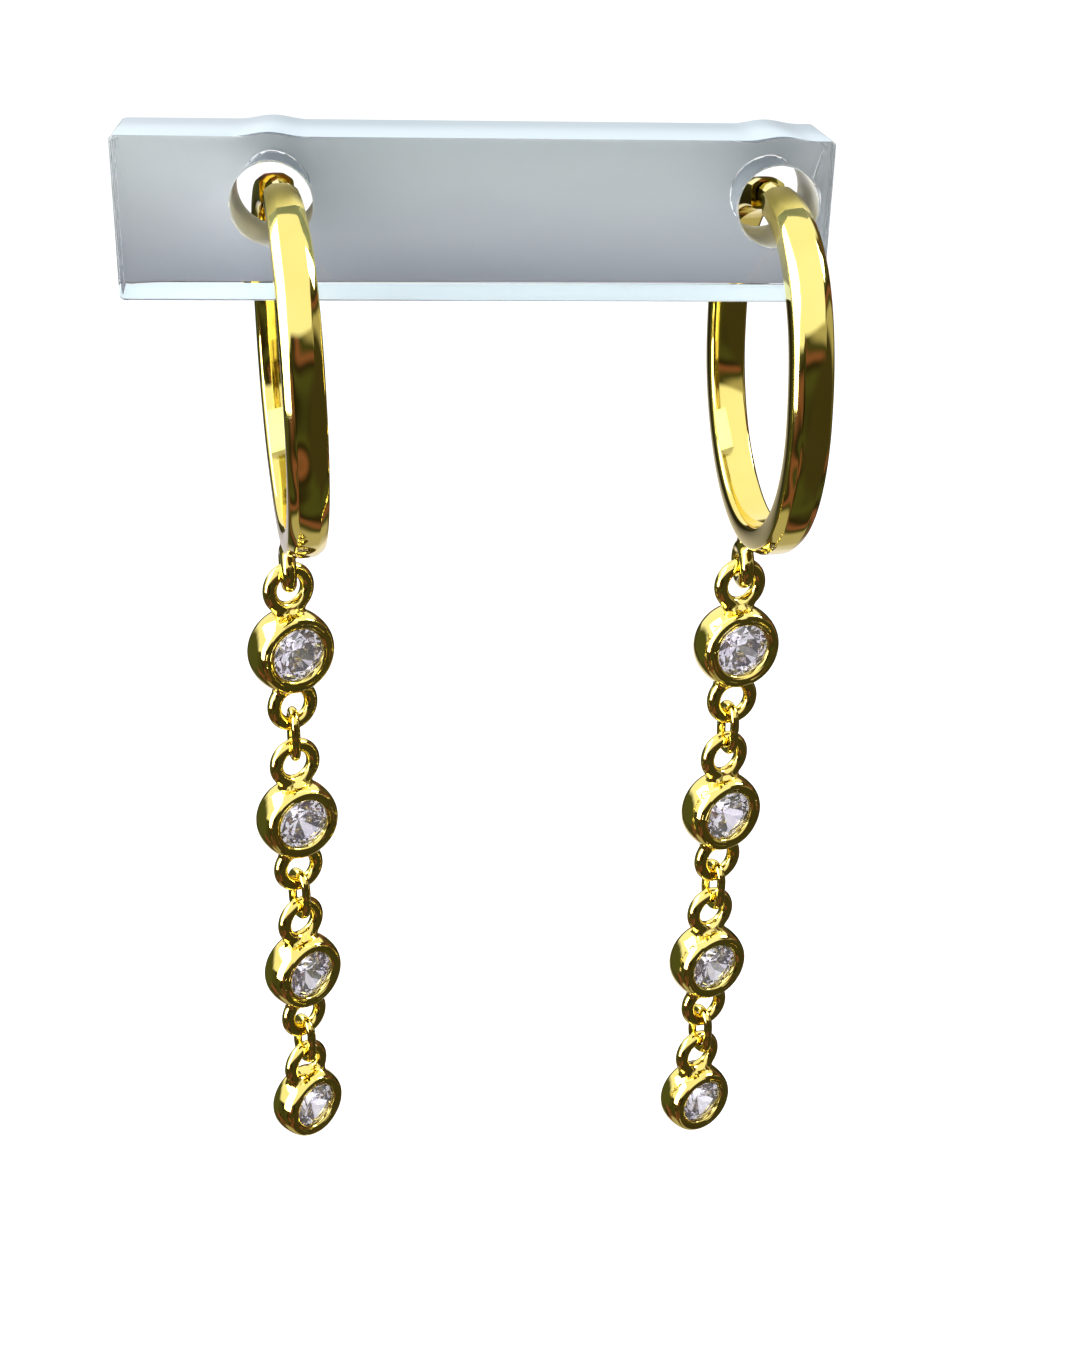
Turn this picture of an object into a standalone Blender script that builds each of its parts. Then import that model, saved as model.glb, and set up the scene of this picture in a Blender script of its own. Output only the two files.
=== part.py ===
"""A pair of drop huggie earrings hanging through a clear display bar.

Each earring is a narrow oval hoop with a soldered eye under it, and a chain of four round
bezels, each holding one round stone, joined by jump rings. +X runs along the bar, -Y is the
front and +Z is up. The origin is on the bar's underside, midway between the two earrings.
"""

import math

import bmesh
import bpy
from mathutils import Vector

MM = 0.001
SHARP_ANGLE = math.radians(35)

# Display bar.
BAR_LEFT_X = -14.6 * MM
BAR_RIGHT_X = 11.0 * MM
BAR_DEPTH = 4.0 * MM
BAR_HEIGHT = 5.8 * MM
BAR_EDGE = 0.15 * MM
HOLE_DIAMETER = 2.9 * MM
HOLE_Z = 3.45 * MM
NUB_RADIUS = 1.1 * MM
NUB_RISE = 0.15 * MM
HOLE_STEPS = 32

# Hoops. The upper half is an oval with squarer shoulders than the lower half's.
HOOP_SPACING = 18.15 * MM
HOOP_HALF_DEPTH = 6.9 * MM
HOOP_BELOW = 6.9 * MM
HOOP_ABOVE = 7.3 * MM
HOOP_CENTRE_Z = -3.3 * MM
HOOP_SHOULDER_POWER = 2.4
HOOP_LEAN = math.radians(1.25)
HOOP_ASIDE = 0.18 * MM
HOOP_THICKNESS = 1.1 * MM
HOOP_WIDTH = 1.48 * MM
HOOP_END_WIDTH = 1.25 * MM
HOOP_TAPER_FROM = math.radians(120)
HOOP_END_Y = 0.8 * MM
FACET_WIDTH = 0.33 * MM
FACET_DEPTH = 0.22 * MM
INNER_EDGE = 0.12 * MM
HOOP_STATIONS = 48
POST_DIAMETER = 0.9 * MM
POST_GAP = 0.15 * MM
POST_Z = 3.45 * MM
POST_STEPS = 12

# Eyes, which are rings of wire soldered to the hoops and bezels.
HOOP_EYE_OUTER = 2.0 * MM
HOOP_EYE_WIRE = 0.6 * MM
SOLDER_DEPTH = 0.15 * MM
EYE_OUTER = 2.25 * MM
EYE_WIRE = 0.58 * MM
EYE_STEPS = 16
EYE_WIRE_STEPS = 6

# Jump rings between the bezels. The two eyes that each one joins stand LINK_GAP apart.
LINK_WIRE = 0.38 * MM
LINK_INNER_WIDTH = 0.8 * MM
LINK_GAP = 0.44 * MM
LINK_ARC_STEPS = 9
CONTACT_GAP = 0.03 * MM

# Bezels, from the top one down: their diameters. Each lower eye reaches out from the rim by
# the same share of the bezel's radius.
BEZEL_DIAMETERS = (3.5 * MM, 3.42 * MM, 3.38 * MM, 3.2 * MM)
EYE_BOTTOM_REACH = 1.03
BEZEL_STEPS = 24
STONE_STEPS = 16

# A bezel's section: radius and height above its middle, as shares of its outer radius.
# It starts at the lip over the stone and goes round outside to the back and up the seat.
BEZEL_SECTION = (
    (0.660, 0.361),
    (0.714, 0.444),
    (0.786, 0.500),
    (0.869, 0.461),
    (0.949, 0.333),
    (1.000, 0.125),
    (1.000, -0.125),
    (0.949, -0.333),
    (0.857, -0.461),
    (0.714, -0.517),
    (0.500, -0.489),
    (0.444, -0.333),
    (0.444, -0.067),
    (0.761, 0.194),
    (0.761, 0.278),
)

# A stone's section, from the point underneath to the middle of the flat top, in the same shares.
STONE_SECTION = (
    (0.000, 0.456),
    (0.433, 0.456),
    (0.722, 0.256),
    (0.722, 0.222),
    (0.000, -0.378),
)

# How each earring hangs: how far each piece is turned about +Z from facing straight to the
# front, in degrees, how far its chain leans to +X, and the reach of each bezel's upper eye.
HANGING = {
    "left": {
        "hoop": 7.5,
        "bezels": (31, 29, 38, 42),
        "links": (102, 122, 124),
        "chain_lean": 0.0,
        "eye_reaches": (1.16, 1.16, 1.12, 0.95),
    },
    "right": {
        "hoop": 4,
        "bezels": (17, 25, 24, 28),
        "links": (107, 114, 116),
        "chain_lean": -1.15,
        "eye_reaches": (1.16, 1.16, 1.16, 1.16),
    },
}


def clear_scene():
    for obj in list(bpy.data.objects):
        bpy.data.objects.remove(obj, do_unlink=True)


def add_collection(name):
    collection = bpy.data.collections.new(name)
    bpy.context.scene.collection.children.link(collection)
    return collection


def add_material(name, colour, metallic, roughness, transmission=0.0):
    material = bpy.data.materials.new(name)
    material.use_nodes = True
    shader = material.node_tree.nodes["Principled BSDF"]
    shader.inputs["Base Color"].default_value = (*colour, 1.0)
    shader.inputs["Metallic"].default_value = metallic
    shader.inputs["Roughness"].default_value = roughness
    shader.inputs["Transmission Weight"].default_value = transmission
    return material


def add_object(name, mesh, material, collection):
    obj = bpy.data.objects.new(name, mesh)
    mesh.materials.append(material)
    collection.objects.link(obj)
    return obj


def keep_as(obj, name, material, collection):
    """Moves an object that a primitive operator has just made into its collection."""
    for other in list(obj.users_collection):
        other.objects.unlink(obj)
    collection.objects.link(obj)
    obj.name = name
    obj.data.name = name
    obj.data.materials.append(material)
    return obj


def helper(obj):
    obj.hide_render = True
    obj.display_type = "WIRE"
    return obj


def combine(obj, other, operation):
    modifier = obj.modifiers.new(other.name, "BOOLEAN")
    modifier.operation = operation
    modifier.object = other


def smooth(mesh):
    mesh.shade_smooth()
    mesh.set_sharp_from_angle(angle=SHARP_ANGLE)


def cylinder_along_y(name, radius, length, location, sides, material, collection):
    bpy.ops.mesh.primitive_cylinder_add(
        vertices=sides, radius=radius, depth=length, location=location, rotation=(math.pi / 2, 0, 0)
    )
    return keep_as(bpy.context.object, name, material, collection)


def wire_ring(name, outer, wire, material, collection):
    bpy.ops.mesh.primitive_torus_add(
        major_radius=(outer - wire) / 2,
        minor_radius=wire / 2,
        major_segments=EYE_STEPS,
        minor_segments=EYE_WIRE_STEPS,
    )
    return helper(keep_as(bpy.context.object, name, material, collection))


def display_bar(material, parts, cutters):
    bpy.ops.mesh.primitive_cube_add(size=1)
    bar = keep_as(bpy.context.object, "display_bar", material, parts)
    size = Vector((BAR_RIGHT_X - BAR_LEFT_X, BAR_DEPTH, BAR_HEIGHT))
    middle = Vector(((BAR_LEFT_X + BAR_RIGHT_X) / 2, 0, BAR_HEIGHT / 2))
    for vertex in bar.data.vertices:
        vertex.co = vertex.co * size + middle
    edges = bar.modifiers.new("edges", "BEVEL")
    edges.width = BAR_EDGE
    edges.segments = 1
    edges.use_clamp_overlap = False
    nub_z = BAR_HEIGHT + NUB_RISE - NUB_RADIUS
    nub_length = BAR_DEPTH - 4 * BAR_EDGE
    for side, sign in (("left", -1), ("right", 1)):
        x = sign * HOOP_SPACING / 2
        nub = cylinder_along_y(
            side + "_nub", NUB_RADIUS, nub_length, (x, 0, nub_z), HOLE_STEPS, material, cutters
        )
        combine(bar, helper(nub), "UNION")
        hole = cylinder_along_y(
            side + "_hole",
            HOLE_DIAMETER / 2,
            2 * BAR_DEPTH,
            (x, 0, HOLE_Z),
            HOLE_STEPS,
            material,
            cutters,
        )
        combine(bar, helper(hole), "DIFFERENCE")


def hoop_section(width):
    """Points of the hoop's section, as distance to the side and distance outward."""
    side = width / 2
    out = HOOP_THICKNESS / 2
    return (
        (side, out - FACET_DEPTH),
        (side - FACET_WIDTH, out),
        (FACET_WIDTH - side, out),
        (-side, out - FACET_DEPTH),
        (-side, INNER_EDGE - out),
        (INNER_EDGE - side, -out),
        (side - INNER_EDGE, -out),
        (side, INNER_EDGE - out),
    )


def power(value, exponent):
    return math.copysign(abs(value) ** exponent, value)


def hoop_centre_line(turn):
    """A point of the centre line and the outward direction there, at an angle from the bottom."""
    lower = math.cos(turn) > 0
    half_height = (HOOP_BELOW if lower else HOOP_ABOVE) - HOOP_THICKNESS / 2
    half_depth = HOOP_HALF_DEPTH - HOOP_THICKNESS / 2
    shape_power = 2 if lower else HOOP_SHOULDER_POWER
    forward = power(-math.sin(turn), 2 / shape_power)
    upward = power(-math.cos(turn), 2 / shape_power)
    out_y = power(forward, shape_power - 1) / half_depth
    out_z = power(upward, shape_power - 1) / half_height
    centre = Vector((0, half_depth * forward, half_height * upward))
    return centre, Vector((0, out_y, out_z)).normalized()


def hoop_mesh(name):
    """The hoop runs from inside the bar's hole, down the back, under and up the front.

    Its origin is on the post's axis.
    """
    half_depth = HOOP_HALF_DEPTH - HOOP_THICKNESS / 2
    end = math.pi - math.asin((HOOP_END_Y / half_depth) ** (HOOP_SHOULDER_POWER / 2))
    shape = bmesh.new()
    rings = []
    for station in range(HOOP_STATIONS + 1):
        turn = end * (2 * station / HOOP_STATIONS - 1)
        centre, outward = hoop_centre_line(turn)
        centre.z += HOOP_CENTRE_Z - POST_Z
        narrowing = max(0.0, abs(turn) - HOOP_TAPER_FROM) / (end - HOOP_TAPER_FROM)
        width = HOOP_WIDTH + (HOOP_END_WIDTH - HOOP_WIDTH) * narrowing**2
        ring = []
        for side, out in hoop_section(width):
            ring.append(shape.verts.new(centre + outward * out + Vector((side, 0, 0))))
        rings.append(ring)
    for ring, following in zip(rings, rings[1:]):
        for near, far in zip(range(-1, len(ring) - 1), range(len(ring))):
            shape.faces.new((ring[near], ring[far], following[far], following[near]))
    shape.faces.new(rings[0])
    shape.faces.new(rings[-1])
    bmesh.ops.recalc_face_normals(shape, faces=shape.faces)
    mesh = bpy.data.meshes.new(name)
    shape.to_mesh(mesh)
    shape.free()
    smooth(mesh)
    return mesh


def add_hoop(side, x, material, parts, cutters):
    """A hoop with its eye soldered underneath, and the height of the eye's inner bottom."""
    facing = (0, -HOOP_LEAN, math.radians(HANGING[side]["hoop"]))
    hoop = add_object(side + "_hoop", hoop_mesh(side + "_hoop"), material, parts)
    hoop.location = (x + HOOP_ASIDE, 0, POST_Z)
    hoop.rotation_euler = facing
    eye_z = HOOP_CENTRE_Z - HOOP_BELOW + SOLDER_DEPTH - HOOP_EYE_OUTER / 2
    eye_aside = HOOP_ASIDE + (POST_Z - eye_z) * math.tan(HOOP_LEAN)
    eye = wire_ring(side + "_hoop_eye", HOOP_EYE_OUTER, HOOP_EYE_WIRE, material, cutters)
    eye.parent = hoop
    eye.location = (-eye_aside, 0, eye_z - POST_Z)
    eye.rotation_euler = (0, math.pi / 2, 0)
    combine(hoop, eye, "UNION")

    post_length = 2 * (HOOP_END_Y - POST_GAP)
    post = cylinder_along_y(
        side + "_post", POST_DIAMETER / 2, post_length, hoop.location, POST_STEPS, material, parts
    )
    post.rotation_euler.z = facing[2]
    smooth(post.data)
    return eye_z - HOOP_EYE_OUTER / 2 + HOOP_EYE_WIRE


def turned(name, section, radius, closed, steps, material, collection):
    """A turned piece: its section, in shares of its radius, swept round the local Z axis."""
    points = [(share_out * radius, 0, share_up * radius) for share_out, share_up in section]
    edges = [(i, i + 1) for i in range(len(points) - 1)]
    if closed:
        edges.append((len(points) - 1, 0))
    mesh = bpy.data.meshes.new(name)
    mesh.from_pydata(points, edges, [])
    obj = add_object(name, mesh, material, collection)
    sweep = obj.modifiers.new("turned", "SCREW")
    sweep.steps = steps
    sweep.render_steps = steps
    sweep.use_merge_vertices = True
    sweep.merge_threshold = 1e-7
    sweep.use_smooth_shade = True
    return obj


def add_bezel(side, number, x, z, metal, crystal, parts, cutters):
    """A bezel and its stone. Local +Z is the bezel's front and local +Y its top."""
    radius = BEZEL_DIAMETERS[number] / 2
    facing = (math.pi / 2, 0, math.radians(HANGING[side]["bezels"][number]))
    name = f"{side}_bezel_{number + 1}"
    bezel = turned(name, BEZEL_SECTION, radius, True, BEZEL_STEPS, metal, parts)
    stone_name = f"{side}_stone_{number + 1}"
    stone = turned(stone_name, STONE_SECTION, radius, False, STONE_STEPS, crystal, parts)
    for obj in (bezel, stone):
        obj.location = (x, 0, z)
        obj.rotation_euler = facing

    eyes = [("top", radius * (1 + HANGING[side]["eye_reaches"][number]) - EYE_OUTER / 2)]
    if number < len(BEZEL_DIAMETERS) - 1:
        eyes.append(("bottom", EYE_OUTER / 2 - radius * (1 + EYE_BOTTOM_REACH)))
    for place, height in eyes:
        eye = wire_ring(f"{name}_{place}_eye", EYE_OUTER, EYE_WIRE, metal, cutters)
        eye.parent = bezel
        eye.location = (0, height, 0)
        combine(bezel, eye, "UNION")


def add_link(side, number, x, z, material, collection):
    """An oval jump ring, standing upright, around the two eyes that it joins."""
    half_width = (LINK_INNER_WIDTH + LINK_WIRE) / 2
    half_length = LINK_GAP / 2 + EYE_WIRE + CONTACT_GAP + LINK_WIRE / 2
    straight = half_length - half_width
    route = []
    for end in (1, -1):
        for step in range(LINK_ARC_STEPS):
            angle = math.pi * step / (LINK_ARC_STEPS - 1)
            across = end * half_width * math.cos(angle)
            up = end * (straight + half_width * math.sin(angle))
            route.append((across, 0, up, 1))
    name = f"{side}_link_{number + 1}"
    curve = bpy.data.curves.new(name, "CURVE")
    curve.dimensions = "3D"
    curve.bevel_depth = LINK_WIRE / 2
    curve.bevel_resolution = 1
    spline = curve.splines.new("POLY")
    spline.points.add(len(route) - 1)
    for point, place in zip(spline.points, route):
        point.co = place
    spline.use_cyclic_u = True
    link = add_object(name, curve, material, collection)
    link.location = (x, 0, z)
    link.rotation_euler = (0, 0, math.radians(HANGING[side]["links"][number]))


def add_earring(side, x, metal, crystal, parts, cutters):
    seat_z = add_hoop(side, x, metal, parts, cutters)
    lean = math.tan(math.radians(HANGING[side]["chain_lean"]))
    eye_top_z = seat_z + CONTACT_GAP + EYE_WIRE
    for number, diameter in enumerate(BEZEL_DIAMETERS):
        bezel_z = eye_top_z - diameter / 2 * (1 + HANGING[side]["eye_reaches"][number])
        bezel_x = x + lean * (seat_z - bezel_z)
        add_bezel(side, number, bezel_x, bezel_z, metal, crystal, parts, cutters)
        if number < len(BEZEL_DIAMETERS) - 1:
            eye_bottom_z = bezel_z - diameter / 2 * (1 + EYE_BOTTOM_REACH)
            eye_top_z = eye_bottom_z - LINK_GAP
            link_z = eye_top_z + LINK_GAP / 2
            add_link(side, number, x + lean * (seat_z - link_z), link_z, metal, parts)


clear_scene()
parts = add_collection("drop_huggie_earrings")
cutters = add_collection("cutters")
gold = add_material("polished_gold", (0.86, 0.62, 0.16), 1.0, 0.08)
crystal = add_material("colourless_stone", (0.95, 0.95, 0.98), 0.0, 0.02, 0.9)
acrylic = add_material("clear_acrylic", (0.86, 0.89, 0.93), 0.0, 0.1, 0.9)
display_bar(acrylic, parts, cutters)
for side, sign in (("left", -1), ("right", 1)):
    add_earring(side, sign * HOOP_SPACING / 2, gold, crystal, parts, cutters)
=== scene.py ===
"""A pair of gold drop huggie earrings with bezel-set stones, hung on a clear display bar."""

import math

import bmesh
import bpy
import numpy as np
from mathutils import Matrix, Vector, noise


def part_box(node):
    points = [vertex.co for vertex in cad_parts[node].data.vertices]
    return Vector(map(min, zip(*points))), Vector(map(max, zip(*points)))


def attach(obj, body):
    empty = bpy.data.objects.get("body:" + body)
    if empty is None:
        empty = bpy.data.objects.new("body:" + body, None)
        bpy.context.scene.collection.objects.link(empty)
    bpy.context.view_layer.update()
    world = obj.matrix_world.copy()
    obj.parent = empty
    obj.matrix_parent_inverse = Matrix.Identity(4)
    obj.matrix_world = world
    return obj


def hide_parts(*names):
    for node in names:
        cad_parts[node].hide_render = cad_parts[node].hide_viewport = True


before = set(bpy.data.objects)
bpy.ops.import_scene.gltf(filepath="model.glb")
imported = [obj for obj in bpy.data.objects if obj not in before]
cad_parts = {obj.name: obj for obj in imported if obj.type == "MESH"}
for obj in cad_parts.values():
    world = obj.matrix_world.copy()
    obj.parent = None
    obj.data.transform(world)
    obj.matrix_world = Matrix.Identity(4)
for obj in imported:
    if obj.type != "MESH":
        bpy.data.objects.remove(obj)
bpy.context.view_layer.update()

# ---------------------------------------------------------------------------------------------
# The display bar. One strip of clear acrylic, sanded on its back so that it shows as a soft
# grey, which is painted lighter towards its top and darker below as painted shading. It has milky
# sawn edges above and below, and the lower one is given a painted glow. Each earring hangs in a
# drilled hole with a satin wall, and the heat of the drilling has raised a low nub on the top
# edge over it.
# ---------------------------------------------------------------------------------------------
MM = 0.001
BAR_CORNER = 0.22 * MM
BAR_EDGE = 0.12 * MM
CORNER_STEPS = 7
HOLE_RADIUS = 1.45 * MM
HOLE_Z = 3.45 * MM
HOLE_STEPS = 96
NUB_HALF_WIDTH = 1.25 * MM
NUB_RISE = 0.15 * MM
NUB_STEPS = 24
ACRYLIC_IOR = 1.49

SIDES = ("left", "right")
HOOP_ASIDE = 0.18 * MM  # how far each earring hangs to the right of its hole's middle
bar_low, bar_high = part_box("display_bar")
bar_top = bar_high.z - NUB_RISE
hang_x = {}
hole_x = {}
for side in SIDES:
    post_low, post_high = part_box(side + "_post")
    hang_x[side] = (post_low.x + post_high.x) / 2
    hole_x[side] = hang_x[side] - HOOP_ASIDE


def new_material(name):
    """A material with its node tree's nodes and links, and its main shader."""
    material = bpy.data.materials.new(name)
    material.use_nodes = True
    nodes, links = material.node_tree.nodes, material.node_tree.links
    return material, nodes, links, nodes["Principled BSDF"]


def add_node(nodes, kind, **inputs):
    """A shader node with some of its inputs set, which are given by name with _ for a space."""
    node = nodes.new(kind)
    for name, value in inputs.items():
        node.inputs[name.replace("_", " ")].default_value = value
    return node


def colour_ramp(nodes, *stops):
    ramp = nodes.new("ShaderNodeValToRGB")
    elements = ramp.color_ramp.elements
    while len(elements) < len(stops):
        elements.new(0.5)
    for element, (place, colour) in zip(elements, stops):
        element.position = place
        element.color = (*colour, 1)
    return ramp


def clear_acrylic():
    material, nodes, links, shader = new_material("clear_acrylic")
    shader.inputs["Base Color"].default_value = (0.97, 0.975, 0.985, 1)
    shader.inputs["Transmission Weight"].default_value = 1.0
    shader.inputs["IOR"].default_value = ACRYLIC_IOR
    place = nodes.new("ShaderNodeTexCoord")
    wear = add_node(nodes, "ShaderNodeTexNoise", Scale=900.0, Detail=4.0)
    links.new(place.outputs["Object"], wear.inputs["Vector"])
    haze = add_node(nodes, "ShaderNodeMapRange", To_Min=0.01, To_Max=0.07)
    links.new(wear.outputs["Fac"], haze.inputs["Value"])
    links.new(haze.outputs["Result"], shader.inputs["Roughness"])
    return material


def sanded_acrylic(name, low_colour, high_colour, roughness, painted_glow=0.0):
    """A sanded face, with a colour that changes from the bar's lower edge to its upper one.
    Where the two colours differ, this is painted shading: darker low and lighter high, as the
    light falls from above.
    The glow is a painted glow. It is an emission in the face's own colour, set as a share of that
    colour, and it stands in for the light the face would gather through the bar."""
    material, nodes, links, shader = new_material(name)
    shader.inputs["Roughness"].default_value = roughness
    shader.inputs["IOR"].default_value = ACRYLIC_IOR
    place = nodes.new("ShaderNodeTexCoord")
    split = nodes.new("ShaderNodeSeparateXYZ")
    links.new(place.outputs["Object"], split.inputs["Vector"])
    height = add_node(nodes, "ShaderNodeMapRange", From_Min=0.0, From_Max=bar_top)
    links.new(split.outputs["Z"], height.inputs["Value"])
    stretch = nodes.new("ShaderNodeMapping")
    stretch.inputs["Scale"].default_value = (60, 400, 400)
    links.new(place.outputs["Object"], stretch.inputs["Vector"])
    cloud = add_node(nodes, "ShaderNodeTexNoise", Scale=1.0, Detail=3.0)
    links.new(stretch.outputs["Vector"], cloud.inputs["Vector"])
    shift = add_node(nodes, "ShaderNodeMapRange", To_Min=-0.12, To_Max=0.12)
    links.new(cloud.outputs["Fac"], shift.inputs["Value"])
    total = nodes.new("ShaderNodeMath")
    links.new(height.outputs["Result"], total.inputs[0])
    links.new(shift.outputs["Result"], total.inputs[1])
    # Painted shading: the lower colour at the bar's lower edge, the upper one at its top.
    ramp = colour_ramp(nodes, (0.0, low_colour), (1.0, high_colour))
    links.new(total.outputs["Value"], ramp.inputs["Fac"])
    links.new(ramp.outputs["Color"], shader.inputs["Base Color"])
    # Painted glow: the same colour is given out as emission, standing in for light through the
    # bar.
    links.new(ramp.outputs["Color"], shader.inputs["Emission Color"])
    shader.inputs["Emission Strength"].default_value = painted_glow
    return material


def nub_points():
    """Points along the top edge, from right to left, that swell up smoothly over each hole."""
    points = []
    for side in reversed(SIDES):
        for across in np.linspace(NUB_HALF_WIDTH, -NUB_HALF_WIDTH, NUB_STEPS):
            swell = 0.5 + 0.5 * math.cos(math.pi * across / NUB_HALF_WIDTH)
            points.append((hole_x[side] + across, bar_top + NUB_RISE * swell))
    return points


def bar_outline():
    """The bar's outline in X and Z, with a low round nub on its top edge over each hole."""
    corners = (
        (bar_high.x, bar_top, 0),
        (bar_low.x, bar_top, 90),
        (bar_low.x, bar_low.z, 180),
        (bar_high.x, bar_low.z, 270),
    )
    points = []
    for x, z, start in corners:
        inward_x = -1 if x == bar_high.x else 1
        inward_z = -1 if z == bar_top else 1
        for angle in np.radians(np.linspace(start, start + 90, CORNER_STEPS)):
            across = BAR_CORNER * (inward_x + math.cos(angle))
            up = BAR_CORNER * (inward_z + math.sin(angle))
            points.append((x + across, z + up))
        if start == 0:
            points += nub_points()
    return points


def add_closed_line(curve, points):
    spline = curve.splines.new("POLY")
    spline.points.add(len(points) - 1)
    for point, (x, z) in zip(spline.points, points):
        point.co = (x, z, 0, 1)
    spline.use_cyclic_u = True


def mesh_from(obj):
    """The object's mesh as Blender evaluates it, in the frame's own coordinates."""
    bpy.context.view_layer.update()
    graph = bpy.context.evaluated_depsgraph_get()
    mesh = bpy.data.meshes.new_from_object(obj.evaluated_get(graph))
    mesh.transform(obj.matrix_world)
    bpy.data.objects.remove(obj)
    return mesh


def place_piece(name, mesh, slot, *replaced):
    """Puts a finished mesh in the scene as a piece that stands for the CAD nodes named."""
    obj = bpy.data.objects.new(name, mesh)
    bpy.context.scene.collection.objects.link(obj)
    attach(obj, "root")
    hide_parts(*replaced)


plate = bpy.data.curves.new("clear_bar", "CURVE")
plate.dimensions = "2D"
plate.fill_mode = "BOTH"
plate.extrude = (bar_high.y - bar_low.y) / 2 - BAR_EDGE
plate.bevel_depth = BAR_EDGE
plate.bevel_resolution = 2
plate.offset = -BAR_EDGE
add_closed_line(plate, bar_outline())
for side in SIDES:
    round_hole = []
    for angle in np.linspace(0, -2 * math.pi, HOLE_STEPS, endpoint=False):
        x = hole_x[side] + HOLE_RADIUS * math.cos(angle)
        round_hole.append((x, HOLE_Z + HOLE_RADIUS * math.sin(angle)))
    add_closed_line(plate, round_hole)
flat_bar = bpy.data.objects.new("clear_bar", plate)
flat_bar.rotation_euler.x = math.pi / 2
bpy.context.scene.collection.objects.link(flat_bar)
bar_mesh = mesh_from(flat_bar)
WELD_REACH = 0.001 * MM
weld = bmesh.new()
weld.from_mesh(bar_mesh)
bmesh.ops.remove_doubles(weld, verts=weld.verts, dist=WELD_REACH)
bmesh.ops.recalc_face_normals(weld, faces=weld.faces)
weld.to_mesh(bar_mesh)
weld.free()

# Each finish goes on the faces that face its way, and the clear one on the rest.
# The milky underside is given a painted glow: emission in its own pale colour, standing in for
# the light from below that shines up through it.
UNDERSIDE_PAINTED_GLOW = 0.45
finishes = (
    clear_acrylic(),
    # The sanded back is painted lighter towards the top and darker towards the bottom, as painted
    # shading; the drilled wall is shaded the same way.
    sanded_acrylic("sanded_back", (0.34, 0.335, 0.375), (0.79, 0.82, 0.81), 0.5),
    sanded_acrylic("milky_top", (0.38, 0.45, 0.50), (0.38, 0.45, 0.50), 0.3),
    sanded_acrylic("milky_underside_painted_glow", (0.85, 0.97, 1.0), (0.85, 0.97, 1.0), 0.4, UNDERSIDE_PAINTED_GLOW),
    sanded_acrylic("drilled_wall", (0.50, 0.52, 0.56), (0.66, 0.69, 0.74), 0.25),
)
BACK, TOP, UNDERSIDE, DRILLED = 1, 2, 3, 4
FACES_BACK = 0.9
FACES_UP = 0.8
FACES_HOLE = 0.5
IN_HOLE = HOLE_RADIUS * 1.02
IN_HOLE_LOW, IN_HOLE_HIGH = BAR_CORNER * 0.2, bar_top - BAR_CORNER
BAR_SHARP = math.radians(30)
bar_mesh.materials.clear()
for finish in finishes:
    bar_mesh.materials.append(finish)
for face in bar_mesh.polygons:
    from_hole = min(abs(face.center.x - x) for x in hole_x.values())
    in_hole = from_hole < IN_HOLE and IN_HOLE_LOW < face.center.z < IN_HOLE_HIGH
    if face.normal.y > FACES_BACK:
        face.material_index = BACK
    elif in_hole and abs(face.normal.y) < FACES_HOLE:
        face.material_index = DRILLED
    elif face.normal.z > FACES_UP and not in_hole:
        face.material_index = TOP
    elif face.normal.z < -FACES_UP and not in_hole:
        face.material_index = UNDERSIDE
bar_mesh.shade_smooth()
bar_mesh.set_sharp_from_angle(angle=BAR_SHARP)
place_piece("clear_bar", bar_mesh, "clear_acrylic", "display_bar")

# ---------------------------------------------------------------------------------------------
# The hoops. Each is a cast oval of gold-plated metal, faceted outside with a flat and two
# bevels, and polished by hand, so its faces are very slightly domed and wavy. A ring of thick
# wire is soldered under it.
# ---------------------------------------------------------------------------------------------
POST_Z = HOLE_Z
HOOP_CENTRE_Z = -3.3 * MM
HOOP_HALF_DEPTH = 6.9 * MM
HOOP_BELOW = 6.9 * MM
HOOP_ABOVE = 7.3 * MM
HOOP_SHOULDER_POWER = 2.4  # 2 is round, and more is squarer
HOOP_THICKNESS = 1.1 * MM
HOOP_WIDTH = 1.48 * MM
HOOP_END_WIDTH = 1.25 * MM
HOOP_TAPER_FROM = math.radians(120)
HOOP_END_Y = 0.8 * MM
HOOP_LEAN = math.radians(1.25)
HOOP_TURNS = {"left": math.radians(7.5), "right": math.radians(4)}
FACET_WIDTH = 0.33 * MM
FACET_DEPTH = 0.22 * MM
INNER_EDGE = 0.12 * MM
HOOP_CORNER = 0.06 * MM
HOOP_CORNER_STEPS = 4
FACE_BOW = 0.024  # how far each face is domed, as a share of its width
FACE_STEPS = 8
NARROWEST_FACE = 0.2 * MM
HOOP_STATIONS = 300
HOOP_WAVE, HOOP_WAVE_LENGTH = 0.007 * MM, 2.4 * MM
GOLD_SHARP = math.radians(50)
HOOP_EYE_OUTER = 2.0 * MM
HOOP_EYE_WIRE = 0.6 * MM
EYE_STEPS = 72
EYE_WIRE_STEPS = 24
SOLDER_REACH = 0.34 * MM
SOLDER_TUCK = 0.03 * MM  # how deep the solder's edge lies under the body's surface
SOLDER_STEPS = 16
TOUCHING = 1e-6 * MM
TINY = 1e-18  # added to divisors, so that none is zero


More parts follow.
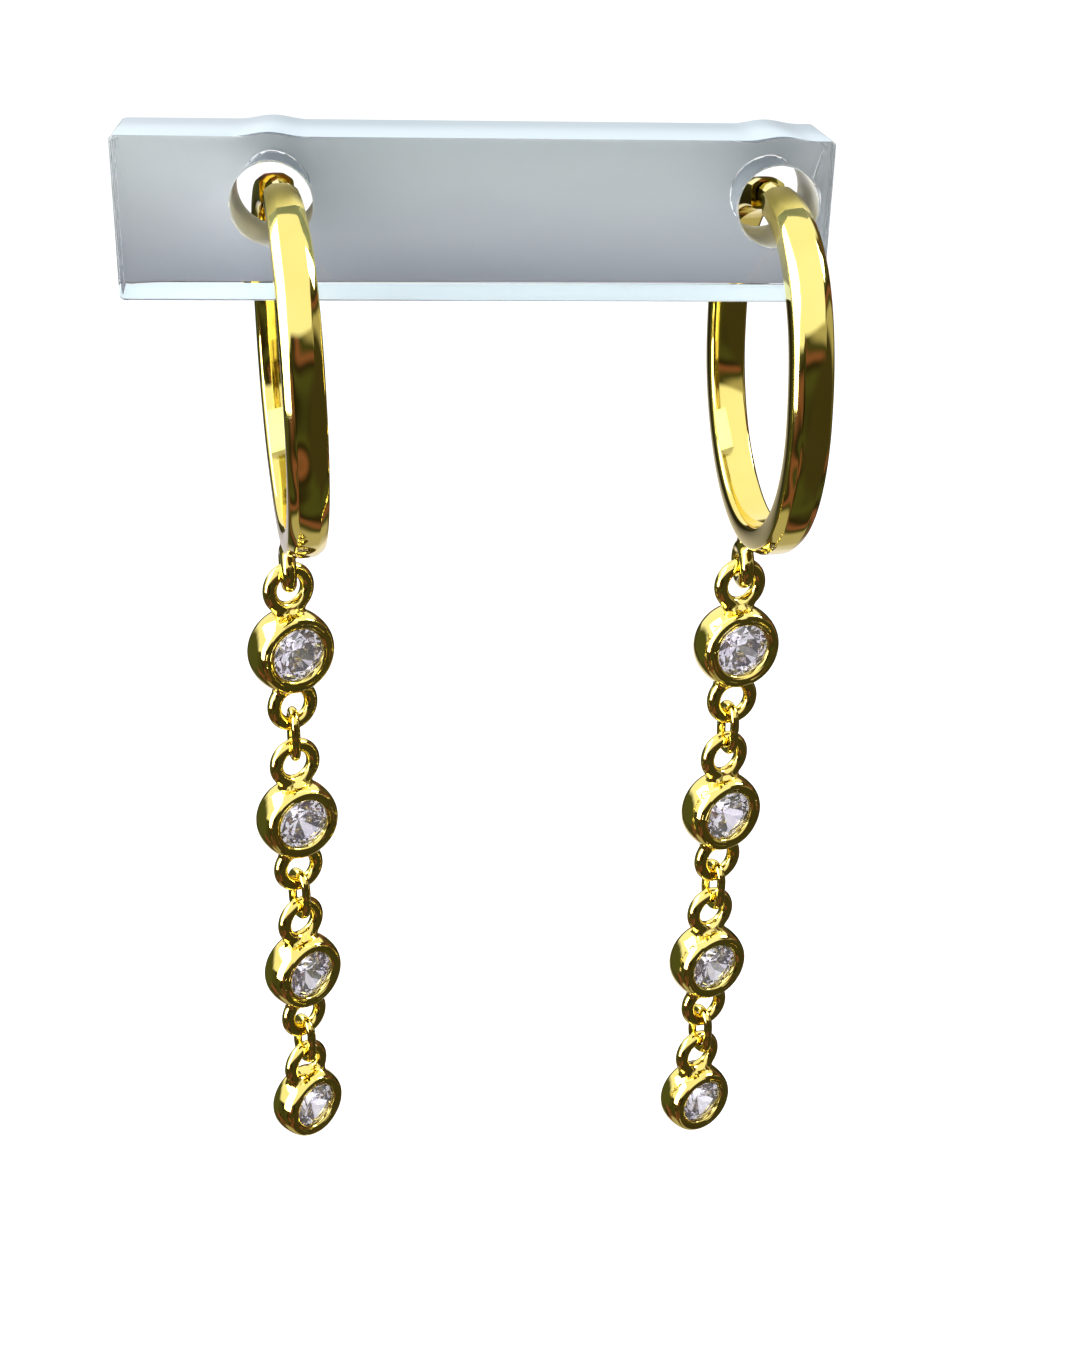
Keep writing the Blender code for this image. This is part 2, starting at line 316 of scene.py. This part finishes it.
def polished_gold():
    material, nodes, links, shader = new_material("polished_gold")
    shader.inputs["Metallic"].default_value = 1.0
    place = nodes.new("ShaderNodeTexCoord")
    tone = add_node(nodes, "ShaderNodeTexNoise", Scale=260.0, Detail=3.0)
    links.new(place.outputs["Object"], tone.inputs["Vector"])
    ramp = colour_ramp(nodes, (0.3, (0.93, 0.76, 0.21)), (0.7, (1.0, 0.86, 0.28)))
    links.new(tone.outputs["Fac"], ramp.inputs["Fac"])
    links.new(ramp.outputs["Color"], shader.inputs["Base Color"])
    wear = add_node(nodes, "ShaderNodeTexNoise", Scale=1500.0, Detail=5.0)
    links.new(place.outputs["Object"], wear.inputs["Vector"])
    rough = add_node(nodes, "ShaderNodeMapRange", To_Min=0.02, To_Max=0.10)
    links.new(wear.outputs["Fac"], rough.inputs["Value"])
    links.new(rough.outputs["Result"], shader.inputs["Roughness"])
    bump = add_node(nodes, "ShaderNodeBump", Strength=0.03, Distance=0.02 * MM)
    links.new(wear.outputs["Fac"], bump.inputs["Height"])
    links.new(bump.outputs["Normal"], shader.inputs["Normal"])
    return material


gold = polished_gold()


def soften(outline, reach, steps):
    """A closed outline with each corner replaced by a short curve that starts reach away."""
    softened = []
    for number, corner in enumerate(outline):
        corner = np.array(corner)
        before = np.array(outline[number - 1]) - corner
        after = np.array(outline[(number + 1) % len(outline)]) - corner
        start = corner + before * min(0.5, reach / np.linalg.norm(before))
        end = corner + after * min(0.5, reach / np.linalg.norm(after))
        for share in np.linspace(0, 1, steps):
            left = 1 - share
            softened.append(left**2 * start + 2 * share * left * corner + share**2 * end)
    return np.array(softened)


def dome_faces(outline):
    """The closed outline with each stretch that is a whole face bowed out in the middle."""
    domed = []
    for point, following in zip(outline, np.roll(outline, -1, axis=0)):
        along = following - point
        length = np.linalg.norm(along)
        bow = np.array((along[1], -along[0])) / (length + TINY) * FACE_BOW * length
        for share in np.arange(FACE_STEPS if length > NARROWEST_FACE else 1) / FACE_STEPS:
            domed.append(point + along * share + bow * 4 * share * (1 - share))
    return np.array(domed)


def distance_to_outline(points, outline):
    """Signed distance of each 2D point to a closed outline, negative inside it."""
    nearest = np.full(len(points), np.inf)
    inside = np.zeros(len(points), bool)
    for start, end in zip(outline, np.roll(outline, -1, axis=0)):
        edge = end - start
        along = np.clip((points - start) @ edge / (edge @ edge + TINY), 0, 1)
        away = points - start - along[:, None] * edge
        nearest = np.minimum(nearest, (away**2).sum(1))
        level = (start[1] > points[:, 1]) != (end[1] > points[:, 1])
        rise = edge[1] if edge[1] != 0 else 1.0
        crossing = start[0] + (points[:, 1] - start[1]) * edge[0] / rise
        inside ^= level & (points[:, 0] < crossing)
    return np.sqrt(nearest) * np.where(inside, -1, 1)


def mesh_of_rings(name, rings, closed):
    """A mesh through rings of points. Closed rings meet end to end, and open ones are capped."""
    count, around = rings.shape[:2]
    faces = []
    for ring in range(count if closed else count - 1):
        here, there = ring * around, (ring + 1) % count * around
        for step in range(around):
            after = (step + 1) % around
            faces.append((here + step, here + after, there + after, there + step))
    if not closed:
        faces.append(tuple(range(around))[::-1])
        faces.append(tuple(range((count - 1) * around, count * around)))
    mesh = bpy.data.meshes.new(name)
    mesh.from_pydata(rings.reshape(-1, 3).tolist(), [], faces)
    mesh.shade_smooth()
    return mesh


def polish_by_hand(mesh, depth, spacing, seed):
    """Moves each point along its normal by a slow, very shallow wave."""
    shift = Vector((seed * 7.3, seed * 3.1, seed * 5.7))
    normals = [vertex.normal.copy() for vertex in mesh.vertices]
    for vertex, normal in zip(mesh.vertices, normals):
        vertex.co += normal * depth * noise.noise(vertex.co / spacing + shift)


def soldered_eye(outer, wire, body_distance):
    """Rings of points of an eye round the local Z axis, which flares out as solder where it
    meets a body. body_distance gives how far a point is outside that body. Each point moves
    out from the wire until it is on the smooth union of the wire and the body, or inside
    the body."""
    radius, half_wire = (outer - wire) / 2, wire / 2
    turn, tilt = np.meshgrid(
        np.linspace(0, 2 * math.pi, EYE_STEPS, endpoint=False),
        np.linspace(0, 2 * math.pi, EYE_WIRE_STEPS, endpoint=False),
        indexing="ij",
    )
    middle = np.stack([np.cos(turn), np.sin(turn), np.zeros_like(turn)], -1)
    outward = middle * np.cos(tilt)[..., None]
    outward[..., 2] = np.sin(tilt)
    flare = np.full(turn.shape, SOLDER_REACH)
    growing = np.ones(turn.shape, bool)
    step = SOLDER_REACH / SOLDER_STEPS
    last = None
    for away in np.arange(0, SOLDER_REACH + step, step):
        points = middle * radius + outward * (half_wire + away)
        body = body_distance(points.reshape(-1, 3)).reshape(turn.shape) + SOLDER_TUCK
        near = np.clip(SOLDER_REACH - abs(away - body), 0, None) / SOLDER_REACH
        union = np.minimum(away, body) - near**2 * SOLDER_REACH / 4
        reached = np.maximum(union, -SOLDER_TUCK - body)
        stops = growing & (reached >= -TOUCHING)
        if last is None:
            flare[stops] = 0
        else:
            flare[stops] = (away - step * reached / (reached - last + TINY))[stops]
        growing &= ~stops
        last = reached
    return middle * radius + outward * (half_wire + flare)[..., None]


def join_meshes(name, meshes):
    """One smooth mesh of several, with only their sharp corners left sharp."""
    joined = bmesh.new()
    for mesh in meshes:
        joined.from_mesh(mesh)
    bmesh.ops.recalc_face_normals(joined, faces=joined.faces)
    mesh = bpy.data.meshes.new(name)
    joined.to_mesh(mesh)
    joined.free()
    mesh.shade_smooth()
    mesh.set_sharp_from_angle(angle=GOLD_SHARP)
    return mesh


def hoop_section(width):
    """The hoop's section across and outward: a flat and two facets outside, and plain inside."""
    side, out = width / 2, HOOP_THICKNESS / 2
    corners = (
        (side, out - FACET_DEPTH),
        (side - FACET_WIDTH, out),
        (FACET_WIDTH - side, out),
        (-side, out - FACET_DEPTH),
        (-side, INNER_EDGE - out),
        (INNER_EDGE - side, -out),
        (side - INNER_EDGE, -out),
        (side, INNER_EDGE - out),
    )
    return dome_faces(soften(corners, HOOP_CORNER, HOOP_CORNER_STEPS))


def signed_power(value, exponent):
    return math.copysign(abs(value) ** exponent, value)


def hoop_rings():
    """Rings of points from the back tip in the bar's hole, down, under and up to the front."""
    half_depth = HOOP_HALF_DEPTH - HOOP_THICKNESS / 2
    end = math.pi - math.asin((HOOP_END_Y / half_depth) ** (HOOP_SHOULDER_POWER / 2))
    rings = []
    for turn in np.linspace(-end, end, HOOP_STATIONS):
        lower = math.cos(turn) > 0
        half_height = (HOOP_BELOW if lower else HOOP_ABOVE) - HOOP_THICKNESS / 2
        shape_power = 2 if lower else HOOP_SHOULDER_POWER
        forward = signed_power(-math.sin(turn), 2 / shape_power)
        upward = signed_power(-math.cos(turn), 2 / shape_power)
        out_y = signed_power(forward, shape_power - 1) / half_depth
        out_z = signed_power(upward, shape_power - 1) / half_height
        size = math.hypot(out_y, out_z)
        narrowing = max(0.0, abs(turn) - HOOP_TAPER_FROM) / (end - HOOP_TAPER_FROM)
        width = HOOP_WIDTH + (HOOP_END_WIDTH - HOOP_WIDTH) * narrowing**2
        section = hoop_section(width)
        centre_z = HOOP_CENTRE_Z - POST_Z + half_height * upward
        ring = np.zeros((len(section), 3))
        ring[:, 0] = section[:, 0]
        ring[:, 1] = half_depth * forward + section[:, 1] * out_y / size
        ring[:, 2] = centre_z + section[:, 1] * out_z / size
        rings.append(ring)
    return np.array(rings)


def distance_from_hoop(points):
    """Distance outside the hoop's lower half, which is round, in the hoop's own frame."""
    depth, drop = points[:, 1], points[:, 2] - (HOOP_CENTRE_Z - POST_Z)
    out = np.hypot(depth, drop) - (HOOP_HALF_DEPTH - HOOP_THICKNESS / 2)
    return distance_to_outline(np.stack([points[:, 0], out], 1), hoop_section(HOOP_WIDTH))


for number, side in enumerate(SIDES):
    place = Matrix.Translation((hang_x[side], 0, POST_Z))
    place @= Matrix.Rotation(HOOP_TURNS[side], 4, "Z") @ Matrix.Rotation(-HOOP_LEAN, 4, "Y")
    eye_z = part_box(side + "_hoop")[0].z + HOOP_EYE_OUTER / 2
    eye_x = -(HOOP_ASIDE + (POST_Z - eye_z) * math.tan(HOOP_LEAN))
    to_eye = Matrix.Translation((eye_x, 0, eye_z - POST_Z)) @ Matrix.Rotation(math.pi / 2, 4, "Y")

    def outside_hoop(points):
        turned = np.array(to_eye.to_3x3())
        return distance_from_hoop(points @ turned.T + np.array(to_eye.translation))

    loop = mesh_of_rings("loop", hoop_rings(), closed=False)
    eye_rings = soldered_eye(HOOP_EYE_OUTER, HOOP_EYE_WIRE, outside_hoop)
    eye = mesh_of_rings("eye", eye_rings, closed=True)
    eye.transform(to_eye)
    name = side + "_gold_hoop"
    hoop = join_meshes(name, (loop, eye))
    hoop.transform(place)
    polish_by_hand(hoop, HOOP_WAVE, HOOP_WAVE_LENGTH, number + 1)
    hoop.materials.append(gold)
    place_piece(name, hoop, "polished_gold", side + "_hoop")

# ---------------------------------------------------------------------------------------------
# The posts. A short round pin of gold-plated metal closes each hoop, between its two tips.
# It lies inside the bar's hole, where little of it shows, so it keeps its plain form.
# ---------------------------------------------------------------------------------------------
for side in SIDES:
    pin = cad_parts[side + "_post"]
    pin.data.materials.clear()
    pin.data.materials.append(gold)

# ---------------------------------------------------------------------------------------------
# The bezels. Each is a turned cup of gold with a domed rim pushed over its stone, and thick
# wire eyes soldered above and, on all but the last, below. They hang turned by themselves.
# ---------------------------------------------------------------------------------------------
BEZELS = (1, 2, 3, 4)
BEZEL_TURNS = {"left": (31, 29, 38, 42), "right": (17, 25, 24, 28)}
EYE_OUTER = 2.25 * MM
EYE_WIRE = 0.58 * MM
STONE_GIRDLE = 0.722  # the stone's radius as a share of its bezel's
BEZEL_STEPS = 144
BEZEL_CORNER_STEPS = 5
BEZEL_WAVE, BEZEL_WAVE_LENGTH = 0.006 * MM, 1.0 * MM

# The bezel's section: radius and height above its middle, as shares of its outer radius.
BEZEL_SECTION = (
    (0.632, 0.285),
    (0.632, 0.395),
    (0.655, 0.438),
    (0.730, 0.470),
    (0.820, 0.495),
    (0.905, 0.450),
    (0.965, 0.320),
    (1.000, 0.125),
    (1.000, -0.125),
    (0.949, -0.333),
    (0.857, -0.461),
    (0.714, -0.517),
    (0.500, -0.489),
    (0.444, -0.333),
    (0.444, -0.067),
    (0.761, 0.194),
    (0.761, 0.262),
)


def turned_rings(outline):
    """Rings of points round the local Z axis, from an outline in radius and height."""
    out, up = outline[:, 0], outline[:, 1]
    rings = []
    for angle in np.linspace(0, 2 * math.pi, BEZEL_STEPS, endpoint=False):
        rings.append(np.stack([out * math.cos(angle), out * math.sin(angle), up], 1))
    return np.array(rings)


def stone_place(side, number):
    """The stone's middle, its bezel's radius and the matrix that faces it to the front."""
    low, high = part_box(f"{side}_stone_{number}")
    bezel_low, bezel_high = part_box(f"{side}_bezel_{number}")
    radius = (high.z - low.z) / 2 / STONE_GIRDLE
    middle = Vector(((bezel_low.x + bezel_high.x) / 2, 0, (low.z + high.z) / 2))
    facing = Matrix.Rotation(math.radians(BEZEL_TURNS[side][number - 1]), 4, "Z")
    facing @= Matrix.Rotation(math.pi / 2, 4, "X")
    return middle, radius, Matrix.Translation(middle) @ facing


for side in SIDES:
    for number in BEZELS:
        middle, radius, place = stone_place(side, number)
        low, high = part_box(f"{side}_bezel_{number}")
        outline = soften(np.array(BEZEL_SECTION) * radius, radius, BEZEL_CORNER_STEPS)
        parts = [mesh_of_rings("cup", turned_rings(outline), closed=True)]
        heights = [high.z - EYE_OUTER / 2 - middle.z]
        if number < len(BEZELS):
            heights.append(low.z + EYE_OUTER / 2 - middle.z)
        for height in heights:

            def outside_cup(points):
                out = np.hypot(points[:, 0], points[:, 1] + height)
                return distance_to_outline(np.stack([out, points[:, 2]], 1), outline)

            eye_rings = soldered_eye(EYE_OUTER, EYE_WIRE, outside_cup)
            eye = mesh_of_rings("eye", eye_rings, closed=True)
            eye.transform(Matrix.Translation((0, height, 0)))
            parts.append(eye)
        name = f"{side}_gold_bezel_{number}"
        bezel = join_meshes(name, parts)
        bezel.transform(place)
        polish_by_hand(bezel, BEZEL_WAVE, BEZEL_WAVE_LENGTH, number)
        bezel.materials.append(gold)
        place_piece(name, bezel, "polished_gold", f"{side}_bezel_{number}")

# ---------------------------------------------------------------------------------------------
# The stones. Each is a round brilliant of colourless zirconia with a table and 56 facets, cut
# from a blank one plane at a time, and held by its bezel's rim.
# ---------------------------------------------------------------------------------------------
GIRDLE_SIDES = 64
GIRDLE_HALF_HEIGHT = 0.022
TABLE_RADIUS = 0.57
TABLE_ANGLE = 0.001  # all but level
CROWN_ANGLE, UPPER_HALF_ANGLE, STAR_ANGLE = 34, 41, 22
PAVILION_ANGLE, LOWER_HALF_ANGLE = 41, 42.6
HALF_FACET_RADIUS = 0.985
STAR_RADIUS = TABLE_RADIUS * 0.93
GIRDLE_RISE = 0.20  # the girdle's height above the bezel's middle, as a share of its radius
STONE_TURN = 17
CUT_REACH = 1e-7
ZIRCONIA_IOR = 2.16


def brilliant():
    """A stone of radius 1 with its girdle at height 0 and its table facing +Z."""
    stone = bmesh.new()
    bmesh.ops.create_cone(
        stone, cap_ends=True, segments=GIRDLE_SIDES, radius1=1, radius2=1, depth=2
    )

    def cut(angle, slope, radius, height):
        """Grinds a facet at slope degrees from the table's plane, or below the girdle where
        the height is negative, and through a point at that radius and height."""
        out = Vector((math.cos(angle), math.sin(angle), 0))
        lean = math.radians(slope)
        up = math.copysign(math.cos(lean), height)
        normal = out * math.sin(lean) + Vector((0, 0, up))
        ground = bmesh.ops.bisect_plane(
            stone,
            geom=stone.verts[:] + stone.edges[:] + stone.faces[:],
            dist=CUT_REACH,
            plane_co=out * radius + Vector((0, 0, height)),
            plane_no=normal,
            clear_outer=True,
        )
        rim = [edge for edge in ground["geom_cut"] if isinstance(edge, bmesh.types.BMEdge)]
        bmesh.ops.edgeloop_fill(stone, edges=rim)

    crown_slope = math.tan(math.radians(CROWN_ANGLE))
    table_height = GIRDLE_HALF_HEIGHT + (1 - TABLE_RADIUS) * crown_slope
    cut(0, TABLE_ANGLE, 0, table_height)
    for step in range(8):
        angle = math.radians(45 * step)
        cut(angle, CROWN_ANGLE, 1, GIRDLE_HALF_HEIGHT)
        cut(angle, PAVILION_ANGLE, 1, -GIRDLE_HALF_HEIGHT)
    for step in range(16):
        angle = math.radians(22.5 * step + 11.25)
        cut(angle, UPPER_HALF_ANGLE, HALF_FACET_RADIUS, GIRDLE_HALF_HEIGHT)
        cut(angle, LOWER_HALF_ANGLE, HALF_FACET_RADIUS, -GIRDLE_HALF_HEIGHT)
    for step in range(8):
        angle = math.radians(45 * step + 22.5)
        cut(angle, STAR_ANGLE, STAR_RADIUS, table_height)
    mesh = bpy.data.meshes.new("brilliant")
    bmesh.ops.recalc_face_normals(stone, faces=stone.faces)
    stone.to_mesh(mesh)
    stone.free()
    return mesh


def colourless_zirconia():
    material, nodes, links, shader = new_material("colourless_zirconia")
    shader.inputs["Transmission Weight"].default_value = 0.92
    shader.inputs["IOR"].default_value = ZIRCONIA_IOR
    shader.inputs["Roughness"].default_value = 0.0
    place = nodes.new("ShaderNodeTexCoord")
    tone = add_node(nodes, "ShaderNodeTexNoise", Scale=900.0, Detail=1.0)
    links.new(place.outputs["Object"], tone.inputs["Vector"])
    ramp = colour_ramp(nodes, (0.35, (0.84, 0.79, 0.95)), (0.65, (0.95, 0.94, 1.0)))
    links.new(tone.outputs["Fac"], ramp.inputs["Fac"])
    links.new(ramp.outputs["Color"], shader.inputs["Base Color"])
    return material


zirconia = colourless_zirconia()
cut_stone = brilliant()
for side in SIDES:
    for number in BEZELS:
        _, radius, place = stone_place(side, number)
        name = f"{side}_cut_stone_{number}"
        stone = cut_stone.copy()
        stone.name = name
        rise = Matrix.Translation((0, 0, GIRDLE_RISE * radius))
        turn = Matrix.Rotation(math.radians(STONE_TURN * number), 4, "Z")
        stone.transform(place @ rise @ turn @ Matrix.Scale(STONE_GIRDLE * radius, 4))
        stone.materials.append(zirconia)
        place_piece(name, stone, "colourless_stone", f"{side}_stone_{number}")

# ---------------------------------------------------------------------------------------------
# The jump rings. Each is a short length of thin gold wire bent to an oval round two eyes, with
# a fine closed seam on one side.
# ---------------------------------------------------------------------------------------------
LINKS = (1, 2, 3)
LINK_TURNS = {"left": (102, 122, 124), "right": (107, 114, 116)}
LINK_WIRE = 0.38 * MM
LINK_INNER_WIDTH = 0.8 * MM
LINK_STEPS = 120
LINK_WIRE_STEPS = 18
LINK_SHOULDER = 4  # how soon the round ends turn into the straight sides
SEAM_DEPTH = 0.03 * MM
SEAM_HALF_ANGLE = 0.03


def jump_ring_rings(length):
    """Rings of points along an oval of wire in the local XZ plane, length long outside."""
    bend = (LINK_INNER_WIDTH + LINK_WIRE) / 2
    straight = (length - LINK_WIRE) / 2 - bend
    sideways, up = np.array((0, 1, 0)), np.array((0, 0, 1))
    tilt = np.linspace(0, 2 * math.pi, LINK_WIRE_STEPS, endpoint=False)[:, None]
    rings = []
    for turn in np.linspace(0, 2 * math.pi, LINK_STEPS, endpoint=False):
        out = np.array((math.cos(turn), 0, math.sin(turn)))
        centre = out * bend + up * straight * math.tanh(LINK_SHOULDER * math.sin(turn))
        from_seam = (turn - math.pi) / SEAM_HALF_ANGLE
        half_wire = LINK_WIRE / 2 - SEAM_DEPTH * math.exp(-(from_seam**2))
        rings.append(centre + half_wire * (np.cos(tilt) * out + np.sin(tilt) * sideways))
    return np.array(rings)


for side in SIDES:
    for number in LINKS:
        low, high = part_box(f"{side}_link_{number}")
        name = f"{side}_jump_ring_{number}"
        ring = mesh_of_rings(name, jump_ring_rings(high.z - low.z), closed=True)
        turn = Matrix.Rotation(math.radians(LINK_TURNS[side][number - 1]), 4, "Z")
        ring.transform(Matrix.Translation((low + high) / 2) @ turn)
        ring.materials.append(gold)
        place_piece(name, ring, "polished_gold", f"{side}_link_{number}")

# ---------------------------------------------------------------------------------------------
# Where it is shown: a camera a little to the left and above, and a pale floor far below.
# Soft lamps and an even pale light make a plain studio. What the gold mirrors is bright above
# and dim and mottled below, which gives the polish its contrast.
# ---------------------------------------------------------------------------------------------
CAMERA_PLACE = (-5.25 * MM, -70.935 * MM, 16.87 * MM)
CAMERA_YAW, CAMERA_PITCH, CAMERA_ROLL = (math.radians(angle) for angle in (5.05, 25, 1.36))
camera = bpy.data.objects.new("camera", bpy.data.cameras.new("camera"))
bpy.context.scene.collection.objects.link(camera)
bpy.context.scene.camera = camera
camera.data.sensor_width = 36
camera.data.lens = 50.37
camera.data.clip_start = MM
camera.matrix_world = (
    Matrix.Translation(CAMERA_PLACE)
    @ Matrix.Rotation(-CAMERA_YAW, 4, "Z")
    @ Matrix.Rotation(math.pi / 2 - CAMERA_PITCH, 4, "X")
    @ Matrix.Rotation(CAMERA_ROLL, 4, "Z")
)

FLOOR_Z = -0.16
FLOOR_REACH = 4.0
floor_corners = []
for x, y in ((-1, -1), (1, -1), (1, 1), (-1, 1)):
    floor_corners.append((x * FLOOR_REACH, y * FLOOR_REACH, FLOOR_Z))
floor_mesh = bpy.data.meshes.new("floor")
floor_mesh.from_pydata(floor_corners, [], [(0, 1, 2, 3)])
floor = bpy.data.objects.new("floor", floor_mesh)
bpy.context.scene.collection.objects.link(floor)
floor.visible_glossy = False
paint, _, _, paint_shader = new_material("pale_floor")
paint_shader.inputs["Base Color"].default_value = (0.93, 0.93, 0.93, 1)
paint_shader.inputs["Roughness"].default_value = 0.8
floor_mesh.materials.append(paint)


def soft_light(name, location, size, power):
    """A rectangular lamp that faces the earrings. Size is its width and its height."""
    lamp = bpy.data.lights.new(name, "AREA")
    lamp.shape = "RECTANGLE"
    lamp.size, lamp.size_y = size
    lamp.energy = power
    obj = bpy.data.objects.new(name, lamp)
    obj.location = location
    obj.rotation_euler = (-Vector(location)).to_track_quat("-Z", "Y").to_euler()
    bpy.context.scene.collection.objects.link(obj)


soft_light("tall_window", (-0.432, -0.230, 0.104), (0.26, 0.52), 2.8)
soft_light("skylight", (-0.371, 0.010, 0.334), (0.60, 0.26), 2.0)
soft_light("side_lamp", (0.40, 0.10, 0.30), (0.16, 0.16), 1.0)


# Screens round the studio: the way to each one, its colour, and how wide it is, as the
# cosine of the angle from its middle to its edge.
SCREENS = (
    ((-0.87, 0.45, -0.20), (0.07, 0.08, 0.03), 0.86),
    ((0.77, -0.54, -0.34), (0.045, 0.04, 0.018), 0.74),
    ((0.00, 0.80, -0.60), (0.80, 0.77, 0.84), 0.90),
)
SCREEN_EDGE = 0.07
SKYWARD = (-0.35, 0.10, 1.0)
SKY_FROM, SKY_FULL = 0.24, 0.31
SKY_WAVE = 0.2
MIRRORED_LIGHT = 1.1
EVEN_LIGHT = 1.15


def along_way(nodes, links, place, way):
    """How far the direction of a ray goes along a given way."""
    toward = nodes.new("ShaderNodeVectorMath")
    toward.operation = "DOT_PRODUCT"
    toward.inputs[1].default_value = way
    links.new(place.outputs["Generated"], toward.inputs[0])
    return toward.outputs["Value"]


def mix_colours(nodes, links, share, under, colour):
    """A colour laid over another one, where the share is 1."""
    mix = nodes.new("ShaderNodeMixRGB")
    mix.inputs["Color2"].default_value = (*colour, 1)
    links.new(share, mix.inputs["Fac"])
    links.new(under, mix.inputs["Color1"])
    return mix.outputs["Color"]


def studio():
    """The light all round: an even one for what is seen or lit, and one for what is mirrored."""
    world = bpy.data.worlds.new("studio")
    bpy.context.scene.world = world
    world.use_nodes = True
    nodes, links = world.node_tree.nodes, world.node_tree.links
    nodes.clear()
    place = nodes.new("ShaderNodeTexCoord")
    clutter = add_node(nodes, "ShaderNodeTexNoise", Scale=1.5, Detail=0.5)
    links.new(place.outputs["Generated"], clutter.inputs["Vector"])
    things = colour_ramp(
        nodes,
        (0.32, (0.015, 0.012, 0.006)),
        (0.42, (0.06, 0.065, 0.025)),
        (0.48, (0.025, 0.02, 0.01)),
        (0.54, (0.20, 0.08, 0.06)),
        (0.60, (0.05, 0.05, 0.02)),
        (0.68, (0.40, 0.37, 0.28)),
    )
    things.color_ramp.interpolation = "EASE"
    links.new(clutter.outputs["Fac"], things.inputs["Fac"])
    waves = add_node(nodes, "ShaderNodeTexNoise", Scale=1.6, Detail=1.0)
    links.new(place.outputs["Generated"], waves.inputs["Vector"])
    shift = add_node(nodes, "ShaderNodeMapRange", To_Min=-SKY_WAVE, To_Max=SKY_WAVE)
    links.new(waves.outputs["Fac"], shift.inputs["Value"])
    height = nodes.new("ShaderNodeMath")
    links.new(along_way(nodes, links, place, SKYWARD), height.inputs[0])
    links.new(shift.outputs["Result"], height.inputs[1])
    sky = add_node(nodes, "ShaderNodeMapRange", From_Min=SKY_FROM, From_Max=SKY_FULL)
    links.new(height.outputs["Value"], sky.inputs["Value"])
    room = mix_colours(nodes, links, sky.outputs["Result"], things.outputs["Color"], (1, 1, 1))
    for way, colour, edge in SCREENS:
        screen = add_node(nodes, "ShaderNodeMapRange", From_Min=edge, From_Max=edge + SCREEN_EDGE)
        links.new(along_way(nodes, links, place, way), screen.inputs["Value"])
        room = mix_colours(nodes, links, screen.outputs["Result"], room, colour)
    mirrored = add_node(nodes, "ShaderNodeBackground", Strength=MIRRORED_LIGHT)
    links.new(room, mirrored.inputs["Color"])
    even = add_node(nodes, "ShaderNodeBackground", Color=(1, 1, 1, 1), Strength=EVEN_LIGHT)
    rays = nodes.new("ShaderNodeLightPath")
    seen_or_lit = nodes.new("ShaderNodeMath")
    seen_or_lit.use_clamp = True
    links.new(rays.outputs["Is Camera Ray"], seen_or_lit.inputs[0])
    links.new(rays.outputs["Diffuse Depth"], seen_or_lit.inputs[1])
    mix = nodes.new("ShaderNodeMixShader")
    links.new(seen_or_lit.outputs["Value"], mix.inputs["Fac"])
    links.new(mirrored.outputs["Background"], mix.inputs[1])
    links.new(even.outputs["Background"], mix.inputs[2])
    result = nodes.new("ShaderNodeOutputWorld")
    links.new(mix.outputs["Shader"], result.inputs["Surface"])


studio()
bpy.context.scene.view_settings.view_transform = "Standard"
